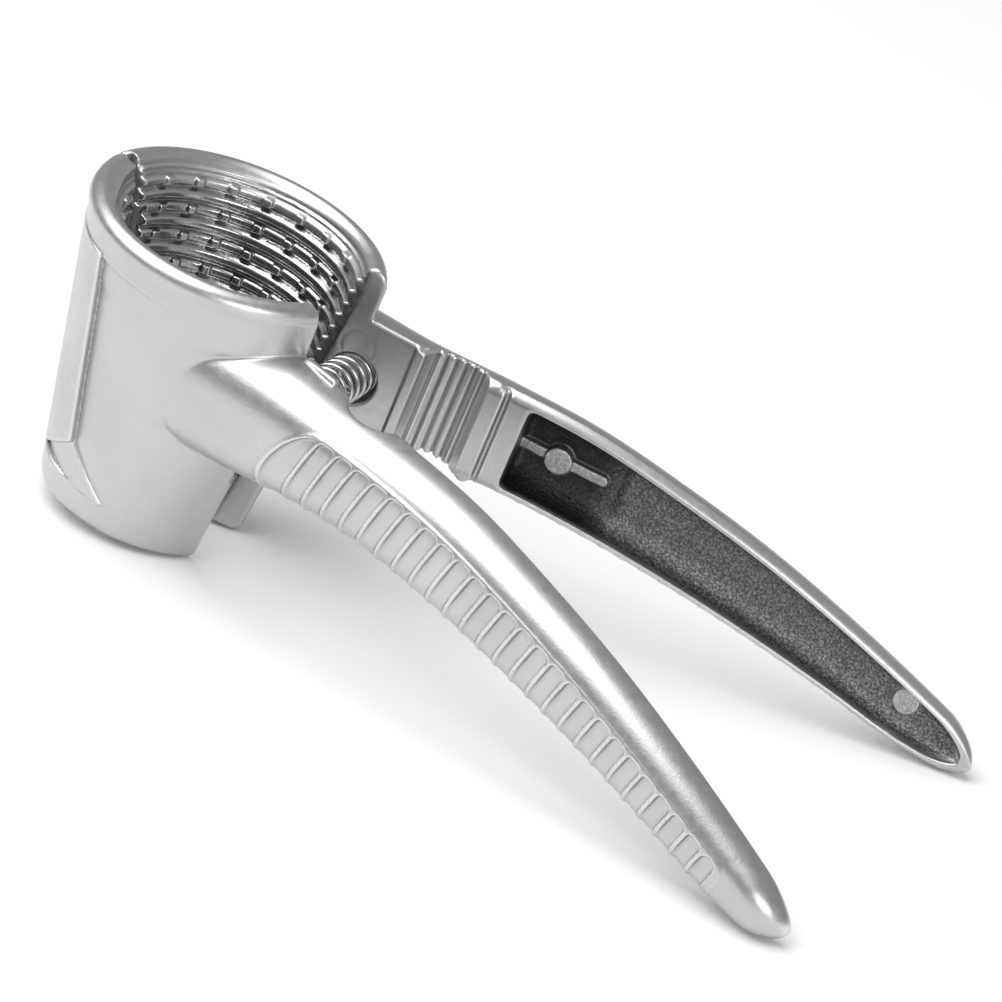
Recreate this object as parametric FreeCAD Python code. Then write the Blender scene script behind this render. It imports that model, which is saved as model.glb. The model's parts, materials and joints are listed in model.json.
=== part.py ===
import FreeCAD, Part
import math
import os

# Hand-held funnel nutcracker, millimetres. Two mirrored die-cast jaws, a hinge pin and a coil spring.
# The shape is drawn with the jaws closed: parting plane at Y = 0, cup foot at Z = 0, handles towards +X,
# near jaw on the -Y side. It is then opened and set down as it rests on a table.

# jaw motion and rest
HALF_OPENING_DEG = 13.0       # each jaw's turn from the closed position to rest
FACE_GAP = 0.15               # each jaw's inner face stands this far off the parting plane
REST_STOP_DEG = 13.3          # relief behind the hinge line, which stops the opening

# cup
CUP_HEIGHT = 57.0
RIM_RADIUS = 26.0
FOOT_RADIUS = 18.2
ARC_OFFSET = 5.3              # each jaw is less than a half circle: its centre lies beyond the parting plane
MOUTH_RADIUS = 21.4
LIP_RADIUS = 22.1             # plain lip above the first ridge
LIP_BOTTOM = 54.3
OUTLET_RADIUS = 14.4
BEAD_RADIUS = 2.2
BEAD_PROUD = 0.56
RIM_SHIFT = 0.7               # the rim and collar are thicker at the hinge side
COLLAR_BOTTOM = 50.0
FIRST_CREST = 53.0            # height of the highest ridge
RIDGE_PITCH = 2.53
RIDGE_DEPTH = 0.8
RIDGE_COUNT = 15
CREST_HALF_WIDTH = 0.45
GROOVE_HALF_WIDTH = 0.25
TOOTH_COLUMN_DEG = 17.5
TOOTH_COLUMN_OFFSET_DEG = -4.0
TOOTH_COLUMNS = 7
TOOTH_SIZE = 1.6
TOOTH_PROUD = 0.7
TOOTH_ROOT = 1.2              # how far a tooth is sunk into the wall

# hinge, on a line that leans back with the cup wall
HINGE_X_AT_RIM = -24.0
HINGE_LEAN = 0.14
PIN_RADIUS = 1.25
PIN_START = 4.0
PIN_END = 47.5
FAR_BORE_RADIUS = 1.30        # running fit on the pin
BARREL_RADIUS = 2.5
BARREL_POCKET_RADIUS = 2.8
HOUSING_RADIUS = 3.6
KNUCKLE_TOP = 48.0
LOWER_SPLIT = 15.0
UPPER_SPLIT = 37.0
KNUCKLE_END_GAP = 0.3

# raised hinge panel on the back of the cup; its lower edge slopes, with a facet and a foot band below
PANEL_PROUD = 1.4
PANEL_CORNER = (-6.6, 12.0)   # x and z of the front lower corner
PANEL_LOW = (-14.2, 5.0)      # x and z where the lower edge meets the foot band
FACET_PROUD = 0.5
FACET_POINT_X = 3.3
FOOT_BAND_TOP = 4.6
FOOT_BAND_PROUD = 0.5
FOOT_BAND_SHIFT = 0.9

# handle stations: x, top z, bottom z, depth from the parting plane
HANDLE_STATIONS = [
    (4.0, 46.0, 22.5, 17.0),
    (20.0, 47.2, 23.6, 14.2),
    (35.0, 47.4, 26.4, 12.0),
    (52.0, 47.4, 28.2, 10.6),
    (68.0, 46.6, 27.9, 9.9),
    (86.0, 44.0, 26.4, 9.3),
    (104.0, 40.1, 24.0, 8.7),
    (122.0, 34.8, 20.8, 8.0),
    (136.0, 30.0, 17.9, 7.2),
    (144.0, 27.0, 16.9, 6.2),
    (148.5, 24.8, 17.4, 4.6),
    (150.8, 22.6, 19.2, 2.2),
]
SECTION_POWER = 2.7           # squareness of the D section's back
HANDLE_FILL_Y = 1.0           # the section runs past the parting plane before the jaw is cut there
GRIP_DEPTH = 0.7

# inner side of the handle
SPRING_HOLE = (25.4, 36.4)    # x and z
SPRING_HOLE_RADIUS = 5.3
SPRING_HOLE_DEPTH = 7.0
CUT_OVERRUN = 5.0             # cuts from the parting side start this far past it
NUT_RECESS = (35.9, 48.1)     # start and end x of the small-nut recess
NUT_RECESS_DEPTH = 4.2
NUT_RIDGE_RADIUS = 0.6
NUT_RIDGE_COUNT = 5
SHALLOW_GROOVE = (51.1, 52.4)
SHALLOW_GROOVE_DEPTH = 0.7
INNER_CUT_HEIGHT = 80.0       # inner side cuts run past the handle's top and bottom
CHANNEL_START_X = 56.2
CHANNEL_END_X = 147.0
CHANNEL_WALL = 1.7
CHANNEL_BACK = 2.0
CHANNEL_BOSS = (63.6, 36.5)
CHANNEL_BOSS_RADIUS = 2.5
CHANNEL_BAR = (56.6, 72.9)
CHANNEL_BAR_HALF_WIDTH = 0.85
CHANNEL_BOSS_RISE = 1.6
EJECTOR_MARK = (136.0, 26.0)
EJECTOR_MARK_RADIUS = 2.4
EJECTOR_MARK_RISE = 0.5
STANDING_ROOT = 8.0           # boss, bar and mark start this far behind the channel's floor

# grip slots on the outer side
SLOT_COUNT = 25
SLOT_PITCH = 4.115            # between the first two slots
SLOT_PITCH_SHRINK = 0.0077    # the spacing shrinks evenly as the handle bends down
SLOT_WIDTH = 3.2
FIRST_SLOT_X = 40.65
SLOT_TOP_DROP = 0.29          # slot tops lie this part of the handle's height under its top edge
SLOT_CORNER = 0.9
SLOT_START_Y = -40.0          # slots are cut from outside the handle
SLOT_END_Y = -3.5             # to this close to the parting plane
SLOT_OVERRUN = 3.0            # and past the underside

# spring
SPRING_WIRE_RADIUS = 0.45
SPRING_MEAN_RADIUS = 3.8
SPRING_TURNS = 12
SPRING_END_CLEARANCE = 0.35

BIG = 400.0
V = FreeCAD.Vector
ORIGIN = V(0, 0, 0)
X_AXIS = V(1, 0, 0)
Y_AXIS = V(0, 1, 0)
Z_AXIS = V(0, 0, 1)
HINGE_FOOT = V(HINGE_X_AT_RIM + HINGE_LEAN * CUP_HEIGHT, 0, 0)
HINGE_AXIS = V(-HINGE_LEAN, 0, 1).normalize()
HINGE_ACROSS = V(1, 0, HINGE_LEAN).normalize()


def wire_of(points):
    return Part.makePolygon([V(*p) for p in points] + [V(*points[0])])


def prism(points, direction):
    """Solid between a flat outline and the same outline moved by direction."""
    return Part.Face(wire_of(points)).extrude(direction)


def cup_radius(z):
    return FOOT_RADIUS + (RIM_RADIUS - FOOT_RADIUS) * z / CUP_HEIGHT


def cavity_radius(z):
    return OUTLET_RADIUS + (MOUTH_RADIUS - OUTLET_RADIUS) * z / CUP_HEIGHT


def cone_band(bottom, top, proud, shift):
    """Solid cone band that follows the cup's outside, proud of it and shifted to the hinge side."""
    base = V(-shift, ARC_OFFSET, bottom)
    return Part.makeCone(cup_radius(bottom) + proud, cup_radius(top) + proud, top - bottom, base, Z_AXIS)


def rim_bead():
    centre = V(-RIM_SHIFT, ARC_OFFSET, CUP_HEIGHT - BEAD_RADIUS)
    middle = RIM_RADIUS + BEAD_PROUD - BEAD_RADIUS
    ring = Part.makeTorus(middle, BEAD_RADIUS, centre, Z_AXIS)
    plug = Part.makeCylinder(middle, 2 * BEAD_RADIUS, centre - V(0, 0, BEAD_RADIUS), Z_AXIS)
    return ring.fuse(plug)


def wedge(outline):
    """Everything on the near side whose x and z lie inside the outline."""
    return prism([(x, -BIG, z) for x, z in outline], V(0, BIG, 0))


def hinge_panel():
    """Raised panel over the hinge, the facet below its sloping lower edge and the foot band."""
    corner_x, corner_z = PANEL_CORNER
    low_z = PANEL_LOW[1]
    upper = [(-BIG, low_z), PANEL_LOW, PANEL_CORNER, (corner_x, COLLAR_BOTTOM), (-BIG, COLLAR_BOTTOM)]
    panel = cone_band(0, COLLAR_BOTTOM, PANEL_PROUD, 0).common(wedge(upper))
    lower = [(-BIG, 0), (FACET_POINT_X, 0), (FACET_POINT_X, FOOT_BAND_TOP), PANEL_CORNER, (-BIG, corner_z)]
    facet = cone_band(0, corner_z, FACET_PROUD, 0).common(wedge(lower))
    foot = cone_band(0, FOOT_BAND_TOP, FOOT_BAND_PROUD, FOOT_BAND_SHIFT)
    return panel.fuse(facet).fuse(foot)


def hinge_housing():
    return Part.makeCylinder(HOUSING_RADIUS, KNUCKLE_TOP, HINGE_FOOT, HINGE_AXIS)


def section(station, inset_height, inset_depth):
    """D-shaped handle section: a superellipse back closed by a line just past the parting plane."""
    x, top, bottom, depth = station
    half = (top - bottom) / 2 - inset_height
    middle = (top + bottom) / 2
    back = depth - inset_depth
    points = []
    steps = 16
    for i in range(steps + 1):
        angle = math.pi * (i / steps - 0.5)
        side = math.copysign(abs(math.sin(angle)) ** (2 / SECTION_POWER), angle)
        rise = abs(math.cos(angle)) ** (2 / SECTION_POWER)
        points.append(V(x, -back * rise, middle + half * side))
    curve = Part.BSplineCurve()
    curve.interpolate(points)
    first, last = points[0], points[-1]
    corner_low = V(x, HANDLE_FILL_Y, first.z)
    corner_high = V(x, HANDLE_FILL_Y, last.z)
    sides = [(last, corner_high), (corner_high, corner_low), (corner_low, first)]
    edges = [curve.toShape()] + [Part.LineSegment(a, b).toShape() for a, b in sides]
    return Part.Wire(edges)


def handle_loft(stations, inset_height=0.0, inset_depth=0.0):
    return Part.makeLoft([section(s, inset_height, inset_depth) for s in stations], True, False)


def station_at(x):
    """Handle station at any x, between the two listed stations around it."""
    for a, b in zip(HANDLE_STATIONS, HANDLE_STATIONS[1:]):
        if a[0] <= x <= b[0]:
            t = (x - a[0]) / (b[0] - a[0])
            return tuple(p + (q - p) * t for p, q in zip(a, b))
    return HANDLE_STATIONS[-1]


def slot_outline(x, top, bottom):
    """Rounded-top slot outline in the XZ plane, outside the handle."""
    left, right = x - SLOT_WIDTH / 2, x + SLOT_WIDTH / 2
    y = SLOT_START_Y
    c = SLOT_CORNER
    s = c * (1 - math.sqrt(0.5))
    edges = [
        Part.LineSegment(V(left, y, bottom), V(left, y, top - c)),
        Part.Arc(V(left, y, top - c), V(left + s, y, top - s), V(left + c, y, top)),
        Part.LineSegment(V(left + c, y, top), V(right - c, y, top)),
        Part.Arc(V(right - c, y, top), V(right - s, y, top - s), V(right, y, top - c)),
        Part.LineSegment(V(right, y, top - c), V(right, y, bottom)),
        Part.LineSegment(V(right, y, bottom), V(left, y, bottom)),
    ]
    return Part.Wire([e.toShape() for e in edges])


def grip_slots():
    slots = []
    for i in range(SLOT_COUNT):
        x = FIRST_SLOT_X + i * SLOT_PITCH - i ** 2 * SLOT_PITCH_SHRINK
        _, top, bottom, _ = station_at(x)
        drop = SLOT_TOP_DROP * (top - bottom)
        outline = slot_outline(x, top - drop, bottom - SLOT_OVERRUN)
        slots.append(Part.Face(outline).extrude(V(0, SLOT_END_Y - SLOT_START_Y, 0)))
    return Part.makeCompound(slots)


def handle():
    """Outer handle with the grip slots sunk into its outer side and underside."""
    full = handle_loft(HANDLE_STATIONS)
    core = handle_loft(HANDLE_STATIONS, GRIP_DEPTH, GRIP_DEPTH)
    return full.cut(grip_slots()).fuse(core)


def cavity():
    """Tapered nut cavity: its wall is a row of rounded ridges below a plain lip."""
    points = [(0, -1), (OUTLET_RADIUS, -1)]
    for i in reversed(range(RIDGE_COUNT)):
        crest = FIRST_CREST - i * RIDGE_PITCH
        radius = cavity_radius(crest)
        groove = RIDGE_PITCH / 2 - GROOVE_HALF_WIDTH
        points.append((radius + RIDGE_DEPTH, crest - groove))
        points.append((radius, crest - CREST_HALF_WIDTH))
        points.append((radius, crest + CREST_HALF_WIDTH))
        points.append((radius + RIDGE_DEPTH, crest + groove))
    points.append((LIP_RADIUS, LIP_BOTTOM))
    points.append((LIP_RADIUS, CUP_HEIGHT + 1))
    points.append((0, CUP_HEIGHT + 1))
    outline = wire_of([(r, ARC_OFFSET, z) for r, z in points])
    return Part.Face(outline).revolve(V(0, ARC_OFFSET, 0), Z_AXIS, 360)


def teeth():
    """Square teeth on every second ridge of the cavity wall."""
    blocks = []
    middle = (TOOTH_COLUMNS - 1) / 2
    for row in range(0, RIDGE_COUNT, 2):
        crest = FIRST_CREST - row * RIDGE_PITCH
        radius = cavity_radius(crest)
        for column in range(TOOTH_COLUMNS):
            angle = 270 + TOOTH_COLUMN_OFFSET_DEG + (column - middle) * TOOTH_COLUMN_DEG
            block = Part.makeBox(TOOTH_PROUD + TOOTH_ROOT, TOOTH_SIZE, TOOTH_SIZE)
            block.translate(V(radius - TOOTH_PROUD, -TOOTH_SIZE / 2, crest - TOOTH_SIZE / 2))
            block.rotate(ORIGIN, Z_AXIS, angle)
            block.translate(V(0, ARC_OFFSET, 0))
            blocks.append(block)
    return blocks


def inner_side_cuts():
    """Spring hole, small-nut recess and shallow groove in the handle's flat inner side."""
    x, z = SPRING_HOLE
    hole_length = SPRING_HOLE_DEPTH + CUT_OVERRUN
    hole = Part.makeCylinder(SPRING_HOLE_RADIUS, hole_length, V(x, CUT_OVERRUN, z), -Y_AXIS)
    start, end = NUT_RECESS
    half = (end - start) / 2
    radius = (half ** 2 + NUT_RECESS_DEPTH ** 2) / (2 * NUT_RECESS_DEPTH)
    centre = V((start + end) / 2, radius - NUT_RECESS_DEPTH, 0)
    recess = Part.makeCylinder(radius, INNER_CUT_HEIGHT, centre, Z_AXIS)
    width = SHALLOW_GROOVE[1] - SHALLOW_GROOVE[0]
    low = V(SHALLOW_GROOVE[0], -SHALLOW_GROOVE_DEPTH, 0)
    groove = Part.makeBox(width, CUT_OVERRUN, INNER_CUT_HEIGHT, low)
    return [hole, recess, groove]


def nut_ridges(body):
    """Fine upright ridges on the floor of the small-nut recess."""
    start, end = NUT_RECESS
    half = (end - start) / 2
    radius = (half ** 2 + NUT_RECESS_DEPTH ** 2) / (2 * NUT_RECESS_DEPTH)
    ridges = []
    for i in range(NUT_RIDGE_COUNT):
        offset = half * (2 * (i + 1) / (NUT_RIDGE_COUNT + 1) - 1)
        y = radius - NUT_RECESS_DEPTH - math.sqrt(radius ** 2 - offset ** 2)
        foot = V((start + end) / 2 + offset, y, 0)
        ridge = Part.makeCylinder(NUT_RIDGE_RADIUS, INNER_CUT_HEIGHT, foot, Z_AXIS)
        ridges.append(ridge.common(body))
    return ridges


def channel_stud(place, radius, rise):
    """Round stud standing from the channel's floor, rooted behind it."""
    x, z = place
    floor = CHANNEL_BACK - station_at(x)[3]
    return Part.makeCylinder(radius, rise + STANDING_ROOT, V(x, floor + rise, z), -Y_AXIS)


def channel():
    """Hollow along the handle's inner side, with its boss, bar and ejector mark left standing."""
    inside = [s for s in HANDLE_STATIONS if CHANNEL_START_X + 4 < s[0] < CHANNEL_END_X]
    stations = [station_at(CHANNEL_START_X)] + inside + [station_at(CHANNEL_END_X)]
    hollow = handle_loft(stations, CHANNEL_WALL, CHANNEL_BACK)
    boss = channel_stud(CHANNEL_BOSS, CHANNEL_BOSS_RADIUS, CHANNEL_BOSS_RISE)
    mark = channel_stud(EJECTOR_MARK, EJECTOR_MARK_RADIUS, EJECTOR_MARK_RISE)
    x, z = CHANNEL_BOSS
    floor = CHANNEL_BACK - station_at(x)[3]
    start, end = CHANNEL_BAR
    low = V(start, floor - STANDING_ROOT, z - CHANNEL_BAR_HALF_WIDTH)
    depth = STANDING_ROOT + CHANNEL_BOSS_RISE / 2
    bar = Part.makeBox(end - start, depth, 2 * CHANNEL_BAR_HALF_WIDTH, low)
    return hollow.cut(Part.makeCompound([boss, bar, mark]))


def near_side():
    """Everything on the near side of the parting faces, which bend back behind the hinge line."""
    front = Part.makeBox(BIG, BIG / 2, BIG, V(-BIG / 2, -BIG / 2 - FACE_GAP, -BIG / 2))
    behind = Part.makeBox(BIG, BIG / 2, BIG, V(-BIG / 2, -BIG / 2 - FACE_GAP, -BIG / 2))
    behind.rotate(HINGE_FOOT - V(0, FACE_GAP, 0), HINGE_AXIS, REST_STOP_DEG)
    return front.common(behind)


def half_casting():
    """One jaw without its knuckles, on the near side."""
    outer = Part.makeCone(FOOT_RADIUS, RIM_RADIUS, CUP_HEIGHT - BEAD_RADIUS, V(0, ARC_OFFSET, 0), Z_AXIS)
    collar = cone_band(COLLAR_BOTTOM, CUP_HEIGHT - BEAD_RADIUS, RIM_SHIFT, RIM_SHIFT)
    body = outer.multiFuse([collar, rim_bead(), hinge_panel(), hinge_housing(), handle()])
    body = body.common(near_side())
    solid_body = body.copy()
    for tool in inner_side_cuts() + [channel(), cavity()]:
        body = body.cut(tool)
    body = body.multiFuse(nut_ridges(solid_body))
    toothed = [block.common(solid_body) for block in teeth()]
    return body.multiFuse(toothed).removeSplitter()


def along_hinge(radius, start, end):
    return Part.makeCylinder(radius, end - start, HINGE_FOOT + HINGE_AXIS * start, HINGE_AXIS)


def near_jaw(casting):
    """Outer knuckles at the top and bottom, and room for the far jaw's middle one."""
    pocket = along_hinge(BARREL_POCKET_RADIUS, LOWER_SPLIT, UPPER_SPLIT)
    lower = along_hinge(BARREL_RADIUS, PIN_START, LOWER_SPLIT)
    upper = along_hinge(BARREL_RADIUS, UPPER_SPLIT, KNUCKLE_TOP)
    bore = along_hinge(PIN_RADIUS, -2, PIN_END)
    return casting.cut(pocket).multiFuse([lower, upper]).cut(bore)


def far_jaw(casting):
    """Middle knuckle, and room for the near jaw's two."""
    mirrored = casting.mirror(ORIGIN, Y_AXIS)
    below = along_hinge(BARREL_POCKET_RADIUS, PIN_START - KNUCKLE_END_GAP, LOWER_SPLIT + KNUCKLE_END_GAP)
    above = along_hinge(BARREL_POCKET_RADIUS, UPPER_SPLIT - KNUCKLE_END_GAP, KNUCKLE_TOP + KNUCKLE_END_GAP)
    middle = along_hinge(BARREL_RADIUS, LOWER_SPLIT + KNUCKLE_END_GAP, UPPER_SPLIT - KNUCKLE_END_GAP)
    bore = along_hinge(FAR_BORE_RADIUS, -2, PIN_END)
    return mirrored.cut(below).cut(above).fuse(middle).cut(bore)


def hinge_pin():
    return along_hinge(PIN_RADIUS, PIN_START, PIN_END)


def open_point(point, side):
    """Where a point of the closed jaw lies at rest: side is -1 for the near jaw, 1 for the far one."""
    turn = FreeCAD.Rotation(HINGE_AXIS, side * HALF_OPENING_DEG)
    return HINGE_FOOT + turn.multVec(point - HINGE_FOOT)


def return_spring():
    """Compression coil straight across from the near spring hole to the far one, at rest."""
    x, z = SPRING_HOLE
    seat = open_point(V(x, SPRING_HOLE_DEPTH, z), 1)
    mouth = open_point(V(x, 0, z), 1)
    slant = SPRING_MEAN_RADIUS * math.tan(math.radians(HALF_OPENING_DEG))
    reach = seat.y - slant - SPRING_END_CLEARANCE - SPRING_WIRE_RADIUS
    centre_x = (seat.x + mouth.x) / 2
    centre_z = (seat.z + mouth.z) / 2
    pitch = 2 * reach / SPRING_TURNS
    helix = Part.makeHelix(pitch, 2 * reach, SPRING_MEAN_RADIUS)
    start = V(SPRING_MEAN_RADIUS, 0, 0)
    wire_section = Part.Wire([Part.makeCircle(SPRING_WIRE_RADIUS, start, Y_AXIS)])
    coil = Part.Wire(helix).makePipeShell([wire_section], True, True)
    coil.rotate(ORIGIN, X_AXIS, -90)
    coil.translate(V(centre_x, -reach, centre_z))
    return coil


def turned(shape, side):
    placed = shape.copy()
    placed.rotate(HINGE_FOOT, HINGE_AXIS, side * HALF_OPENING_DEG)
    return placed


def table_tilt(parts):
    """Angle that brings the handle tips down to the level of the cup's front foot edge."""
    points = parts["near_jaw"].tessellate(0.1)[0]
    cup_points = [p for p in points if p.x < RIM_RADIUS and p.z < CUP_HEIGHT / 2]
    handle_points = [p for p in points if p.x > 2 * RIM_RADIUS]
    low, high = 0.0, 20.0
    for _ in range(24):
        middle = (low + high) / 2
        turn = FreeCAD.Rotation(Y_AXIS, middle)
        handle_low = min(turn.multVec(p).z for p in handle_points)
        cup_low = min(turn.multVec(p).z for p in cup_points)
        if handle_low > cup_low:
            low = middle
        else:
            high = middle
    return (low + high) / 2


def set_down(parts, tilt):
    """Tilt the open nutcracker onto its table and move its origin under the middle of its box."""
    for shape in parts.values():
        shape.rotate(ORIGIN, Y_AXIS, tilt)
    box = Part.makeCompound(list(parts.values())).optimalBoundingBox(False)
    shift = V(-box.Center.x, -box.Center.y, -box.ZMin)
    for shape in parts.values():
        shape.translate(shift)
    return shift


def build():
    casting = half_casting()
    return {
        "near_jaw": turned(near_jaw(casting).Solids[0], -1),
        "far_jaw": turned(far_jaw(casting).Solids[0], 1),
        "hinge_pin": turned(hinge_pin(), -1),
        "return_spring": return_spring(),
    }


parts = build()
tilt = table_tilt(parts)
shift = set_down(parts, tilt)
print("tilt", tilt, "shift", shift)
os.makedirs("parts", exist_ok=True)
for name, shape in parts.items():
    print(name, "solids", len(shape.Solids), "valid", shape.isValid(), "volume", round(shape.Volume))
    shape.exportStep("parts/" + name + ".step")
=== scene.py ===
import json
import math

import bmesh
import bpy
import numpy as np
from mathutils import Matrix, Vector

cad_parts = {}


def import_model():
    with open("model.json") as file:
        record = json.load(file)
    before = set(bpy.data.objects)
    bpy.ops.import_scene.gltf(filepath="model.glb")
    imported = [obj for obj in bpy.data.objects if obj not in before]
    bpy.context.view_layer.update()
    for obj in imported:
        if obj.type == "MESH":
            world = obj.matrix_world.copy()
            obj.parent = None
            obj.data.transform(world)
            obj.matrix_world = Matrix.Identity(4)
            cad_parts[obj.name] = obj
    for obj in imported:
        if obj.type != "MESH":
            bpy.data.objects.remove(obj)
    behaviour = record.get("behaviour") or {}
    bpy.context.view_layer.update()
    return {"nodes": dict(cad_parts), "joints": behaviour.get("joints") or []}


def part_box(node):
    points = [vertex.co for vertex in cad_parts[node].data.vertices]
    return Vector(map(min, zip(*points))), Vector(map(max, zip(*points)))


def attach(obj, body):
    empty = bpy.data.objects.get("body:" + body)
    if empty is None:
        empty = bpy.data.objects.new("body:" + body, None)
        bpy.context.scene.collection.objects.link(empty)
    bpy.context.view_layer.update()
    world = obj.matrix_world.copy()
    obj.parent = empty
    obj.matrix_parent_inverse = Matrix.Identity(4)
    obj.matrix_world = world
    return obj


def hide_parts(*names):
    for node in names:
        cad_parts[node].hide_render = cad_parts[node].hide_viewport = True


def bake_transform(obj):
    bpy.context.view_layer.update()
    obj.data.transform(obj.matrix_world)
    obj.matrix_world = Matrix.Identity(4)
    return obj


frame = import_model()

# Hand-held funnel nutcracker. The two die-cast jaws are shaped as signed distances, with the soft
# edges of a casting, in the closed-jaw frame: millimetres, parting plane Y = 0, cup foot at Z = 0,
# handles towards +X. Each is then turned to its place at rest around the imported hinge.

MM = 0.001
HALF_OPENING = math.radians(13.0)
REST_STOP = math.radians(13.3)
FACE_GAP = 0.15

# The cup's outside. Each jaw's arcs are centred ARC_OFFSET beyond the parting plane, so that the two
# make a round cup when they stand open.
CUP_HEIGHT = 57.0
RIM_RADIUS = 26.0
FOOT_RADIUS = 18.2
ARC_OFFSET = 5.3
FOOT_ROUNDING = 1.7
WALL_TOP = CUP_HEIGHT - 2.0
COLLAR_BOTTOM = 50.0
COLLAR_TOP = CUP_HEIGHT - 2.5
COLLAR_PROUD = 0.62
COLLAR_SHIFT = 0.75
CHEEK_BOTTOM = 44.0
CHEEK_PROUD = 0.6
CHEEK_FLARE = 0.13
CHEEK_FLARE_TOP = CUP_HEIGHT - 3
CHEEK_SPAN_X = (12, 26)

# The rim: a bead, a ledge inside it, and a flat top towards the hinge.
RIM_SHIFT = 0.7
BEAD_RADIUS = 2.15
BEAD_PROUD = 0.6
LEDGE_INSET = 2.0
LEDGE_MIDDLE = CUP_HEIGHT - 3.9
LEDGE_HALF_HEIGHT = 2.5
FLAT_INSET = 1.2
FLAT_MIDDLE = CUP_HEIGHT - 1.9
FLAT_HALF_HEIGHT = 1.75
FLAT_SPAN_X = (8, 22)

# The raised panel over the hinge. The corners are (x, z), seen from the jaw's side.
PANEL_PROUD = 1.4
PANEL_OVERLAP = 0.6
PANEL_EDGE_LEAN = 0.1
PANEL_CORNER = (-4.4, 13.6)
PANEL_LEFT = (-14.0, 6.2)
FACET_POINT = (4.4, 6.2)
FACET_PROUD = 0.5
FACET_ABOVE = 1
FACET_BELOW = 0.5
FOOT_BAND_PROUD = 1.35
FOOT_BAND_FADE = 15

# The ridged funnel inside the cup.
MOUTH_RADIUS = 21.4
OUTLET_RADIUS = 14.4
LIP_BOTTOM = 54.6
LIP_DEPTH = 1.0
LIP_EDGE = 0.3
FIRST_CREST = 53.0
LAST_RIDGE = 16.0
RIDGE_FADE = 3
RIDGE_PITCH = 2.53
RIDGE_DEPTH = 0.80
RIDGE_FLANK = (0.35, 0.95)  # from the crest, in half pitches
PLAIN_RIDGE_PROUD = 0.25
BORDER_SPAN_Y = (0.7, 1.8)
BORDER_DEPTH = RIDGE_DEPTH + 0.3
OUTLET_THICKENING = 2.6
OUTLET_SPAN_Z = (LAST_RIDGE - 6, LAST_RIDGE + 4)
OUTLET_SPAN_X = (4, 10)
STEEPNESS_SHARE = 0.85  # brings the ridged wall's field nearer to a true distance
TOOTH_COLUMN = math.radians(17.5)
TOOTH_COLUMN_START = math.radians(-4.0)
TOOTH_COLUMNS_EACH_WAY = 3
TOOTH_ROWS = 8
TOOTH_SINK = 0.45
TOOTH_HALF_SIZE = (1.1, 0.85, 0.8)
TOOTH_ROUNDING = 0.25

# The hinge: its knuckles' starts and ends are measured along the leaning hinge line.
HINGE_LEAN = 0.14
HINGE_FOOT_X = -24.0 + HINGE_LEAN * CUP_HEIGHT
JOINT_POINT_UP = 30.0
BARREL_RADIUS = 2.5
BARREL_POCKET_RADIUS = 2.8
POCKET_END_GAP = 0.3
POCKET_WINDOW = 5.0
HOUSING_RADIUS = 3.6
HOUSING_TOP = 50
NEAR_KNUCKLES = [(4.0, 15.0), (37.0, 48.0)]
FAR_KNUCKLES = [(15.3, 36.7)]
BORE_RADIUS = 1.3

# The handle's stations: x, top z, bottom z, depth from the parting plane.
HANDLE_STATIONS = np.array([
    (4.0, 47.8, 22.5, 16.2),
    (20.0, 48.4, 23.6, 14.4),
    (35.0, 47.6, 26.4, 12.0),
    (52.0, 47.6, 28.2, 10.6),
    (68.0, 46.9, 27.9, 9.9),
    (86.0, 44.0, 26.4, 9.3),
    (104.0, 40.1, 24.0, 8.7),
    (122.0, 34.8, 20.8, 8.0),
    (136.0, 30.0, 17.9, 7.2),
    (144.0, 27.0, 17.0, 6.6),
    (152.0, 23.6, 16.2, 5.8),
])
HANDLE_START = 3.0
HANDLE_END = 150.4
TIP_LENGTH = 7.5
SECTION_POWER = 2.7
EDGE_CHAMFER = 1.2
CHAMFER_REACH = 1.6
CHAMFER_SPAN_X = (33, 37)
ROOT_FILLET = 0.5
ROOT_FILLET_EXTRA = 1.8
ROOT_FILLET_WIDEST_X = 7
ROOT_FILLET_END_X = 13

# The handle's inner side, from the cup outwards. A pair is where a change starts and ends.
INNER_SIDE_BOTTOM = 18
PLATE_DEPTH = 0.55
PLATE_END_X = (33.9, 34.4)
RING_X, RING_Z = 24.4, 42.6
RING_RADIUS = 3.0
RING_WIDTH = 0.3
RING_DEPTH = 0.06
RECESS_START = 35.9
RECESS_END = 48.1
RECESS_DEPTH = 4.2
RECESS_RIB_PITCH = 1.743
RIB_GROOVE_DEPTH = 0.9
RIB_GROOVE_POWER = 5
RIB_END_FADE = 0.6
RIB_TOP_FADE = (1.5, 3.0)
WIDE_RIDGE_X = 49.7
WIDE_RIDGE_Y = -1.6
WIDE_RIDGE_RADIUS = 1.55
WIDE_RIDGE_BOTTOM = 29.0
WIDE_RIDGE_TOP = 46
LAND_GROOVE_DEPTH = 0.8
LAND_GROOVE_START_X = (51.0, 51.4)
LAND_GROOVE_END_X = (52.0, 52.5)
LAND_DEPTH = 0.12
LAND_START_X = (52.2, 52.6)
SPRING_X = 25.4
SPRING_Z = 36.4
SPRING_HOLE_RADIUS = 4.75
SPRING_HOLE_DEPTH = 7.0
SHOULDER_CENTRE = (29.8, -1.2, 46.2)
SHOULDER_HALF_SIZE = (3.6, 1.2, 2.4)
SHOULDER_ROUNDING = 0.5

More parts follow.
